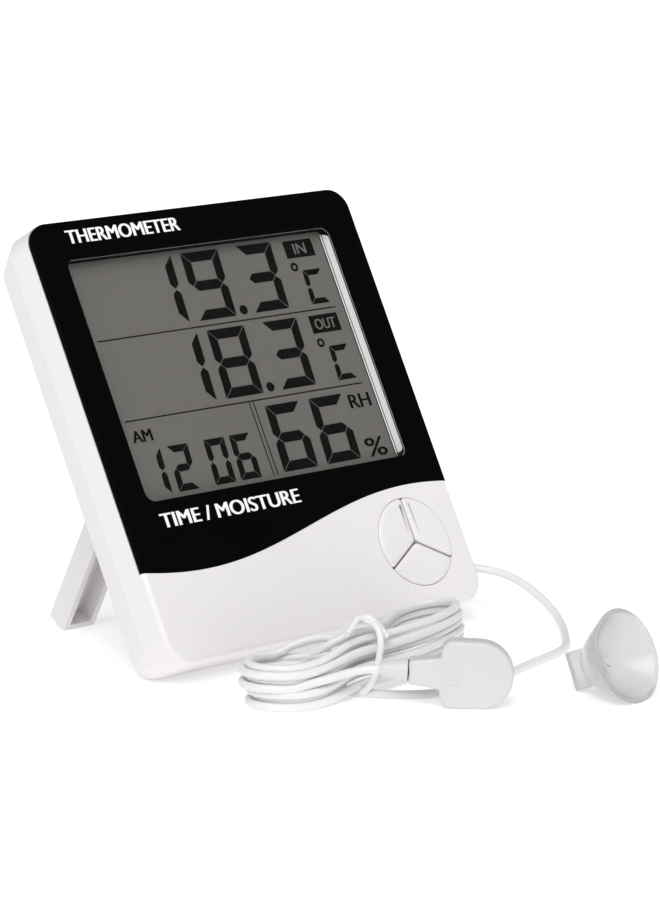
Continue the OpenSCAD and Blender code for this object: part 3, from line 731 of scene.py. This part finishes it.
def figure(value, x0, x1, z0, z1, t, gap=0.14):
    """Outlines of one seven-segment figure that fills a box, with strokes of width t."""
    mid, h = (z0 + z1) / 2, t / 2
    strokes = {
        "a": [(x0 + gap, z1), (x0 + t + gap, z1 - t), (x1 - t - gap, z1 - t), (x1 - gap, z1)],
        "d": [(x0 + gap, z0), (x1 - gap, z0), (x1 - t - gap, z0 + t), (x0 + t + gap, z0 + t)],
        "g": [(x0 + h + gap, mid), (x0 + t + gap, mid - h), (x1 - t - gap, mid - h),
              (x1 - h - gap, mid), (x1 - t - gap, mid + h), (x0 + t + gap, mid + h)],
        "b": [(x1, z1 - gap), (x1 - t, z1 - t - gap), (x1 - t, mid + h + gap),
              (x1 - h, mid + gap), (x1, mid + h)],
        "c": [(x1, mid - h), (x1 - h, mid - gap), (x1 - t, mid - h - gap),
              (x1 - t, z0 + t + gap), (x1, z0 + gap)],
        "f": [(x0, mid + h), (x0 + h, mid + gap), (x0 + t, mid + h + gap),
              (x0 + t, z1 - t - gap), (x0, z1 - gap)],
        "e": [(x0, z0 + gap), (x0 + t, z0 + t + gap), (x0 + t, mid - h - gap),
              (x0 + h, mid - gap), (x0, mid - h)],
    }
    return [[(x + (z - mid) * FIGURE_SLANT, z) for x, z in strokes[s]] for s in FIGURES[value]]


def bar(x0, z0, x1, z1):
    return [(x0, z0), (x1, z0), (x1, z1), (x0, z1)]


def temperature_row(z0, z1, value):
    """The outlines of a large reading with its decimal point."""
    shapes = []
    for digit, (x0, x1) in zip(value, TEMPERATURE_X):
        shapes += figure(digit, x0, x1, z0, z1, STROKE)
    shapes += figure("C", *UNIT_X, z0, z0 + UNIT_H, THIN_STROKE)
    return shapes + [circle(POINT_X, z0 + POINT_R, POINT_R, 24)]


def display_figures(paint):
    """The dark readings, lines and marks, and the pale marks on their dark fields."""
    front, back = BEZEL_BACK - 0.06, BEZEL_BACK - 0.01
    shapes = []
    for row in TEMPERATURES:
        shapes += temperature_row(*row)
    for value, x0, x1 in CLOCK:
        shapes += figure(value, x0, x1, *CLOCK_Z, FINE_STROKE, 0.1)
    for value, x0, x1 in HUMIDITY:
        shapes += figure(value, x0, x1, *HUMIDITY_Z, STROKE)
    shapes += [bar(*field) for field in FIELDS]
    meshes = [slab([shape], front, back) for shape in shapes]
    for z0, z1, _ in TEMPERATURES:
        z = (z0 + z1) / 2 + DEGREE_RISE
        meshes.append(slab([circle(DEGREE_X, z, DEGREE_R, 24),
                            circle(DEGREE_X, z, DEGREE_HOLE_R, 24)[::-1]], front, back))
    meshes += [lettering(text, x, z, front, height, width, bold=0.3)
               for text, x, z, height, width in DARK_MARKS]
    finish_piece("display_figures", joined(*meshes), paint["segment"])
    marks = [lettering(text, x, z, front - 0.03, height, width, bold=0.15)
             for text, x, z, height, width in PALE_MARKS]
    finish_piece("display_marks", joined(*marks), paint["lcd"])


# ==== keys ============================================================
KEY_GAP, KEY_HOLE_GAP, KEY_PROUD, FLANGE_OVER = 0.48, 0.2, 0.6, 1.4
KEY_EDGE, KEY_BACK, KEY_CORNER = 1.5, 2.6, 1.6      # rounding, depth and corners of a cap
FLANGE_Y0, FLANGE_Y1 = 2.1, 3.1
SMOOTH_TURN = math.radians(25)


def softened(outline, r):
    """The outline with its corners rounded."""
    steps = 5
    result = []
    for i, corner in enumerate(outline):
        before, after = Vector(outline[i - 1]), Vector(outline[(i + 1) % len(outline)])
        corner = Vector(corner)
        into, out = corner - before, after - corner
        turn = into.angle(out, 0)
        if turn < SMOOTH_TURN:
            result.append(tuple(corner))
            continue
        back = min(r * math.tan(turn / 2), into.length * 0.45, out.length * 0.45)
        start, end = corner - into.normalized() * back, corner + out.normalized() * back
        for k in range(steps + 1):
            t = k / steps
            result.append(tuple(start * (1 - t) ** 2 + corner * 2 * t * (1 - t) + end * t * t))
    return result


def key_outline(angle, r, corner):
    """A third of a disc round its middle angle, less half the gap on each side."""
    half = 60 - math.degrees(math.asin(KEY_GAP / 2 / r))
    tip = KEY_GAP / 2 / math.sin(math.radians(60))
    a = math.radians(angle)
    outline = [(tip * math.cos(a), tip * math.sin(a))] + arc(0, 0, r, angle - half, angle + half)
    return [(x + KEY_AT[0], z + KEY_AT[1]) for x, z in softened(outline, corner)]


def front_key(name, node, angle, paint):
    """One key: a cap with a wide, low rounding, and the flange that keeps it in."""
    flatten = KEY_PROUD / KEY_EDGE
    cap = slab([key_outline(angle, KEY_R + KEY_HOLE_GAP / 2, KEY_CORNER)], -KEY_EDGE,
               KEY_BACK / flatten, bevel=KEY_EDGE, steps=8)
    cap.transform(Matrix.Diagonal((1, flatten, 1, 1)))
    flange = slab([key_outline(angle, KEY_R + FLANGE_OVER, 0.5)], FLANGE_Y0, FLANGE_Y1,
                  bevel=0.1)
    finish_piece(name, carve(cap, [flange], "UNION"), paint["keys"],
                 body=node, replaces=[node], crisp=50)


# ==== rear shell ======================================================
REAR_R, SIDE_TAPER, BASE_TAPER = 5, 2.4, 0.5
PAST_BACK = CASE_D + 1                  # where a cut through the back ends
LEG_X0, LEG_X1, LEG_T, LEG_LEN, LEG_WALL = 19, 28.5, 6, 55, 1.5
OPEN_ANGLE = 57
PIVOT_Y, PIVOT_Z = 17, 57.5
PIN_R, PIN_LEN = 1.5, 2
LEG_GAP, BAR_GAP, CHANNEL_WALL = 0.3, 0.4, 1.5
CHANNEL_Y = PIVOT_Y - LEG_T / 2 - LEG_GAP
CHANNEL_Z0 = PIVOT_Z - LEG_T / 2 - BAR_GAP          # lower side of the crossbar's channel
CHANNEL_Z1 = PIVOT_Z + LEG_T / 2 + BAR_GAP
BAY_HALF_W, BAY_Y, BAY_Z0, BAY_Z1, BAY_WALL = 5.6, 8.1, 2.9, 52.9, 1.2
DOOR_HALF_W, DOOR_Y, DOOR_Z0, DOOR_Z1, DOOR_PIN_R = 7.2, 18.8, 7.9, 53.4, 0.5
DOOR_PIN_Y = (DOOR_Y + CASE_D) / 2
KEYHOLE_Z0, KEYHOLE_Z1, KEYHOLE_R, SLOT_R = 84, 93, 4, 2.1
KEYHOLE_Y, INNER_Y = 13.5, 17           # floor of the keyhole's pocket; inside of the back
REAR_BUTTONS = {"unit_button": (38, 74), "reset_button": (38, 64)}
BUTTON_HOLE_R, BUTTON_Y = 2.2, 11.4
CASE_SCREWS = [(-12, 8), (12, 8), (-34, 102.6), (34, 102.6)]
SCREW_HOLE_R, HEAD_HOLE_R, HEAD_Y, BOSS_R = 1.1, 2.3, 14, 3.2
VENTS, VENT_X0, VENT_X1, VENT_Z, VENT_PITCH, VENT_H = 5, -44, -34, 18, 4, 1.4
SOUND_HOLES, SOUND_AT, SOUND_RING_R, SOUND_HOLE_R = 6, (-24, 80), 3, 0.7
CABLE_Y, CABLE_Z, CABLE_HOLE_R = 13.98, 11.2, 2.2
CABLE_EXIT = Vector((CASE_W / 2 - WALL, CABLE_Y, CABLE_Z))


def rear_form(inset=0.0, forward=0.0):
    """The tapering, rounded rear half, as the hull of its front outline and four corners."""
    r = REAR_R - inset
    centre_y = CASE_D - REAR_R
    points = at_depth(case_outline(inset), PARTING - forward)
    points += at_depth(case_outline(inset), PARTING)
    for side in (-1, 1):
        x = side * (CASE_W / 2 - SIDE_TAPER - REAR_R)
        for z in (BASE_TAPER + REAR_R, CASE_H - SIDE_TAPER - REAR_R):
            for latitude in range(-10, 91, 10):
                radius = r * math.cos(math.radians(latitude))
                y = centre_y + r * math.sin(math.radians(latitude))
                points += at_depth(circle(x, z, max(radius, 1e-3), 48), y)
    work = bmesh.new()
    for point in points:
        work.verts.new(point)
    hull = bmesh.ops.convex_hull(work, input=work.verts)
    loose = {v for key in ("geom_interior", "geom_unused") for v in hull[key]
             if isinstance(v, bmesh.types.BMVert)}
    bmesh.ops.delete(work, geom=list(loose), context="VERTS")
    bmesh.ops.dissolve_limit(work, angle_limit=math.radians(0.2), verts=work.verts,
                             edges=work.edges)
    mesh = bpy.data.meshes.new("rear_form")
    work.to_mesh(mesh)
    work.free()
    return tidy_mesh(mesh)


def rear_hollow():
    """The space inside the rear shell, round the walls of its recesses."""
    bay_top = BAY_Z1 + BAY_WALL
    solid = [box_mesh((-LEG_X0 - 1, CHANNEL_Y - CHANNEL_WALL, CHANNEL_Z0 - 0.3),
                      (LEG_X0 + 1, CASE_D, CHANNEL_Z1 + CHANNEL_WALL)),
             box_mesh((-6.5, KEYHOLE_Y - 1.5, 78), (6.5, CASE_D, 99.5)),
             box_mesh((-BAY_HALF_W - BAY_WALL, BAY_Y - 0.7, WALL),
                      (BAY_HALF_W + BAY_WALL, CASE_D, bay_top)),
             box_mesh((-DOOR_HALF_W - BAY_WALL, DOOR_Y - 2, WALL),
                      (DOOR_HALF_W + BAY_WALL, CASE_D, bay_top))]
    for side in (-1, 1):
        low, high = sorted((side * (LEG_X0 - LEG_GAP - CHANNEL_WALL),
                            side * (LEG_X1 + PIN_LEN + 2 * CHANNEL_WALL)))
        solid.append(box_mesh((low, CHANNEL_Y - CHANNEL_WALL, -1),
                              (high, CASE_D, CHANNEL_Z1 + CHANNEL_WALL)))
    solid += [rod_y(x, z, PARTING, CASE_D, BOSS_R) for x, z in CASE_SCREWS]
    return carve(rear_form(WALL, forward=2), solid)


def rear_cutters():
    """Recesses and holes in the back."""
    pin_end = LEG_X1 + PIN_LEN + 0.2
    cutters = [
        box_mesh((-BAY_HALF_W, BAY_Y, BAY_Z0), (BAY_HALF_W, PAST_BACK, BAY_Z1)),
        box_mesh((-DOOR_HALF_W - 0.15, DOOR_Y - 0.1, DOOR_Z0 - 0.9),
                 (DOOR_HALF_W + 0.15, PAST_BACK, DOOR_Z1 + 0.2)),
        box_mesh((-LEG_X1, CHANNEL_Y, CHANNEL_Z0), (LEG_X1, PAST_BACK, CHANNEL_Z1)),
        rod_x(-pin_end, pin_end, PIVOT_Y, PIVOT_Z, PIN_R + 0.05),
        rod_y(0, KEYHOLE_Z0, KEYHOLE_Y, PAST_BACK, KEYHOLE_R),
        box_mesh((-SLOT_R, INNER_Y, KEYHOLE_Z0), (SLOT_R, PAST_BACK, KEYHOLE_Z1)),
        rod_y(0, KEYHOLE_Z1, INNER_Y, PAST_BACK, SLOT_R),
        box_mesh((-5, KEYHOLE_Y, 79.5), (5, CASE_D - WALL, 98)),
        rod_x(40, 56, CABLE_Y, CABLE_Z, CABLE_HOLE_R),
    ]
    for side in (-1, 1):
        low, high = sorted((side * (LEG_X0 - LEG_GAP), side * (LEG_X1 + LEG_GAP)))
        cutters.append(box_mesh((low, CHANNEL_Y, WALL), (high, PAST_BACK, CHANNEL_Z1)))
    for x, z in CASE_SCREWS:
        cutters += [rod_y(x, z, 7, PAST_BACK, SCREW_HOLE_R),
                    rod_y(x, z, HEAD_Y, PAST_BACK, HEAD_HOLE_R)]
    cutters += [rod_y(x, z, INNER_Y, PAST_BACK, BUTTON_HOLE_R) for x, z in REAR_BUTTONS.values()]
    for i in range(VENTS):
        z = VENT_Z + VENT_PITCH * i
        cutters.append(slab([rounded(VENT_X0, z, VENT_X1, z + VENT_H, 0.65)], 16, PAST_BACK))
    for i in range(SOUND_HOLES):
        a = math.radians(60 * i)
        cutters.append(rod_y(SOUND_AT[0] + SOUND_RING_R * math.cos(a),
                             SOUND_AT[1] + SOUND_RING_R * math.sin(a),
                             INNER_Y, PAST_BACK, SOUND_HOLE_R, steps=20))
    return cutters


def rear_shell(paint):
    shell = carve(rear_form(), [rear_hollow()] + rear_cutters())
    finish_piece("rear_shell", shell, paint["body"], replaces=["rear_case"],
                 crisp=28)


def rear_button(node, paint):
    """A round button with a flange inside the shell and a hollow for the fingertip."""
    x, z = REAR_BUTTONS[node]
    profile = [(1.9, 0), (1.9, 5.4), (3.1, 5.4), (3.1, 6.5), (1.9, 6.5), (1.9, 8.6), (1.8, 8.85),
               (1.55, 9), (1.1, 9), (0.9, 8.9), (0.4, 8.8), (0.05, 8.78)]
    button = lathe(profile, 64)
    button.transform(Matrix.Translation((x, BUTTON_Y, z)) @ Matrix.Rotation(-math.pi / 2, 4, "X"))
    finish_piece(node + "_cap", button, paint["keys"], body=node,
                 replaces=[node])


def stand_frame(paint):
    """Two channel-section legs on a crossbar, folded out."""
    half = LEG_T / 2
    crossbar = rod_x(-LEG_X1, LEG_X1, 0, 0, half)
    pins = rod_x(-LEG_X1 - PIN_LEN, LEG_X1 + PIN_LEN, 0, 0, PIN_R)
    legs, hollows = [], []
    for side in (-1, 1):
        low, high = sorted((side * LEG_X0, side * LEG_X1))
        legs.append(box_mesh((low, -half, -LEG_LEN), (high, half, 0)))
        hollows.append(box_mesh((low + LEG_WALL, -half - 1, -LEG_LEN + LEG_WALL),
                                (high - LEG_WALL, half - LEG_WALL, -half - 2)))
    stand = carve(carve(carve(crossbar, legs, "UNION"), hollows), [pins], "UNION")
    opened = (Matrix.Translation((0, PIVOT_Y, PIVOT_Z))
              @ Matrix.Rotation(math.radians(OPEN_ANGLE), 4, "X"))
    finish_piece("stand_frame", stand, paint["stand"], body="stand",
                 place=CASE @ opened, replaces=["stand"], bevel=0.35)


def door_cover(paint):
    """The battery door, with finger grooves near its top edge."""
    groove_half, groove_depth, groove_z, groove_h, pitch = 4.5, 0.35, 42.5, 0.7, 1.6
    grooves = [box_mesh((-groove_half, CASE_D - groove_depth, groove_z + pitch * i),
                        (groove_half, PAST_BACK, groove_z + groove_h + pitch * i))
               for i in range(5)]
    cover = carve(box_mesh((-DOOR_HALF_W, DOOR_Y, DOOR_Z0 + 0.1), (DOOR_HALF_W, CASE_D, DOOR_Z1)),
                  grooves)
    knuckle = rod_x(-DOOR_HALF_W, DOOR_HALF_W, DOOR_PIN_Y, DOOR_Z0, (CASE_D - DOOR_Y) / 2)
    pin = rod_x(-DOOR_HALF_W - 0.8, DOOR_HALF_W + 0.8, DOOR_PIN_Y, DOOR_Z0, DOOR_PIN_R)
    finish_piece("door_cover", carve(cover, [knuckle, pin], "UNION"), paint["body"],
                 body="battery_door", replaces=["battery_door"], bevel=0.15)


def cable_sleeve(paint):
    """Ribbed sleeve where the cable leaves the case."""
    bore, ribs, groove = 1.02, 4, 0.3
    profile = [(bore, -4.8), (3, -4.8), (3, -3.8), (2.15, -3.8), (2.15, 0.5), (1.9, 0.7)]
    for i in range(ribs):
        x = 0.9 + i
        r = 1.9 - 0.12 * i
        profile += [(r, x), (r, x + 0.45), (r - groove, x + 0.6), (r - groove, x + 0.9)]
    profile += [(1.3, 5), (bore, 5)]
    sleeve = lathe(profile + [profile[0]], 64)
    sleeve.transform(Matrix.Translation(CABLE_EXIT) @ Matrix.Rotation(math.pi / 2, 4, "Y"))
    finish_piece("cable_sleeve", sleeve, paint["cable"],
                 replaces=["cable_grommet"])


# ==== probe and suction cup, in millimetres about their own origins ===
PROBE_R, PROBE_END_X, PROBE_T = 7.7, 15.8, 5.4
PROBE_SPLIT, PROBE_BORE_R = 0.22, 1.05  # half the gap between its halves, and their bore
NECK_HALF, NECK_LEN, NECK_FLARE, SHOULDER_R = 2.7, 7, 1.36, 3
PROBE_TURN, PROBE_PITCH = math.radians(-46), math.radians(2.3)
PROBE_Z = (PROBE_R + PROBE_END_X * math.sin(PROBE_PITCH)) * MM
PROBE = (Matrix.Translation((-0.0164, -0.0771, PROBE_Z))
         @ Matrix.Rotation(PROBE_TURN, 4, "Z") @ Matrix.Rotation(PROBE_PITCH, 4, "Y")
         @ Matrix.Scale(MM, 4))
CUP_R, CUP_LEN, CUP_NECK_R = 11, 16, 4.5
CUP_FLOOR_R, CUP_FLOOR_Z, CUP_RIM = 3.9, 10.4, 0.8
TAB_LEN, TAB_T = 6, 3
CUP_TURN = math.radians(7)
CUP_TILT = math.atan2(CUP_R - CUP_NECK_R, CUP_LEN)  # lies on its rim and its small end
CUP = (Matrix.Translation((0.024, -0.1105, 0)) @ Matrix.Rotation(CUP_TURN, 4, "Z")
       @ Matrix.Rotation(math.pi / 2 - CUP_TILT, 4, "X") @ Matrix.Scale(MM, 4)
       @ Matrix.Translation((0, CUP_R, -CUP_LEN)))


def probe_outline(inset=0.0):
    """Tapered neck, square shoulders and a round end."""
    neck = NECK_HALF - inset
    lower = [(inset, -neck), (NECK_LEN + inset, -neck * NECK_FLARE)]
    lower += arc(NECK_LEN + SHOULDER_R, SHOULDER_R - PROBE_R, SHOULDER_R - inset, 180, 270, 8)[1:]
    upper = [(x, -z) for x, z in reversed(lower)]
    end = arc(PROBE_END_X, 0, PROBE_R - inset, -90, 90, 40)
    return softened(lower + end + upper, 0.8)


def probe_half(name, node, low, high, paint):
    """The part of the flat probe between two depths, with a dimple on the near face."""
    whole = slab([probe_outline()], -PROBE_T / 2, PROBE_T / 2, bevel=0.8, steps=5)
    dimple = slab([circle(PROBE_END_X - 6, -1.2, 1.3, 32)], -PROBE_T, -PROBE_T / 2 + 0.12)
    half = carve(whole, [box_mesh((-5, low, -20), (40, high, 20))], "INTERSECT")
    hollow = lathe([(PROBE_BORE_R, -2), (PROBE_BORE_R, PROBE_END_X - 2)], 32)
    hollow.transform(Matrix.Rotation(math.pi / 2, 4, "Y"))
    half = carve(half, [dimple, hollow])
    finish_piece(name, half, paint["probe"], place=PROBE, replaces=[node],
                 crisp=40)


def probe_core(paint):
    """Dark core in the thin gap between the probe's halves, painting the shade there, and a dark
    disc at the neck painting the shadow between the sleeve and the stem.
    """
    core = slab([probe_outline(0.3)], -0.4, 0.4)
    # Dark disc: painted shadow between the sleeve and the stem.
    collar = rod_x(-0.5, 0.5, 0, 0, 2.4)
    finish_piece("probe_gap", joined(core, collar), paint["seam"], place=PROBE)


def probe_sleeve(paint):
    """Tapered sleeve at the probe's neck."""
    profile = [(1.1, 0.2), (2.55, 0.2), (2.65, 0.3), (2.1, 3.2), (1.65, 5.6), (1.5, 6.3),
               (1.35, 6.5), (1.1, 6.5), (1.1, 0.2)]
    sleeve = lathe(profile, 64)
    sleeve.transform(Matrix.Rotation(-math.pi / 2, 4, "Y"))
    finish_piece("probe_sleeve", sleeve, paint["sleeve"], place=PROBE,
                 replaces=["probe_strain_relief"])


def window_cup(paint):
    """Soft cup, hollow towards its rim, with a flat tab at its small end."""
    outer_flare, inner_flare = 0.8, 0.75
    profile = [(0.05, TAB_LEN), (CUP_NECK_R - 0.4, TAB_LEN), (CUP_NECK_R - 0.1, TAB_LEN + 0.1)]
    steps = 14
    for i in range(1, steps + 1):
        t = i / steps
        profile.append((CUP_NECK_R + (CUP_R - CUP_NECK_R) * t ** outer_flare,
                        TAB_LEN + (CUP_LEN - TAB_LEN) * t))
    for i in range(steps + 1):
        t = 1 - i / steps
        profile.append((CUP_FLOOR_R + (CUP_R - CUP_RIM - CUP_FLOOR_R) * t ** inner_flare,
                        CUP_FLOOR_Z + (CUP_LEN - CUP_FLOOR_Z) * t))
    profile += [(CUP_FLOOR_R - 0.4, CUP_FLOOR_Z - 0.1), (1.2, CUP_FLOOR_Z - 0.1),
                (1.0, CUP_FLOOR_Z + 0.3), (0.05, CUP_FLOOR_Z + 0.4)]
    tab = slab([rounded(-CUP_NECK_R, 0, CUP_NECK_R, TAB_LEN + 1, 0.5)], -TAB_T / 2, TAB_T / 2,
               bevel=0.4)
    tab.transform(Matrix.Rotation(math.pi / 2, 4, "Z"))
    cup = carve(lathe(profile, 96), [tab], "UNION")
    finish_piece("window_cup", cup, paint["cup"], place=CUP,
                 replaces=["suction_cup"], crisp=50)


# ==== pieces kept as they are, with better finishes ===================
INNER_FINISH = {
    "lcd_polariser": "lcd", "lcd_glass": "lcd", "lcd_reflector": "steel",
    "lcd_holder": "inner_white", "zebra_strip": "rubber", "main_board": "green",
    "chip_blob": "epoxy", "crystal": "steel", "capacitors": "parts", "tact_switches": "epoxy",
    "room_sensor": "epoxy", "humidity_sensor": "inner_white", "buzzer": "brass",
    "key_mat": "silicone", "battery_cell": "cell", "battery_spring": "steel",
    "battery_contact": "steel", "battery_wires": "wire", "probe_inner_lead": "cable",
    "case_screws": "steel", "board_screws": "steel", "probe_sensor": "epoxy",
}


def finish_inner_pieces(paint):
    """Gives the pieces inside their materials and leaves their shapes as they are."""
    for node, finish in INNER_FINISH.items():
        data = frame["nodes"][node].data
        for i in range(len(data.materials)):
            data.materials[i] = paint[finish]


def declare_cable():
    """Works out the cable's centre line; nothing more is done with it."""
    points = cable_points()


make_stage()
make_camera()
paint = make_materials()
cable = make_cable(paint)
make_tie(paint)
front_shell(paint)
front_plate(paint)
display_window(paint)
window_shade_lining(paint)
labels(paint)
display_figures(paint)
front_key("mode_key_cap", "mode_key", 150, paint)
front_key("memory_key_cap", "memory_key", 30, paint)
front_key("adjust_key_cap", "adjust_key", 270, paint)
rear_shell(paint)
rear_button("unit_button", paint)
rear_button("reset_button", paint)
stand_frame(paint)
door_cover(paint)
cable_sleeve(paint)
probe_half("probe_front", "probe_front_shell", -PROBE_T, -PROBE_SPLIT, paint)
probe_half("probe_rear", "probe_rear_shell", PROBE_SPLIT, PROBE_T, paint)
probe_core(paint)
probe_sleeve(paint)
window_cup(paint)
finish_inner_pieces(paint)
declare_cable()
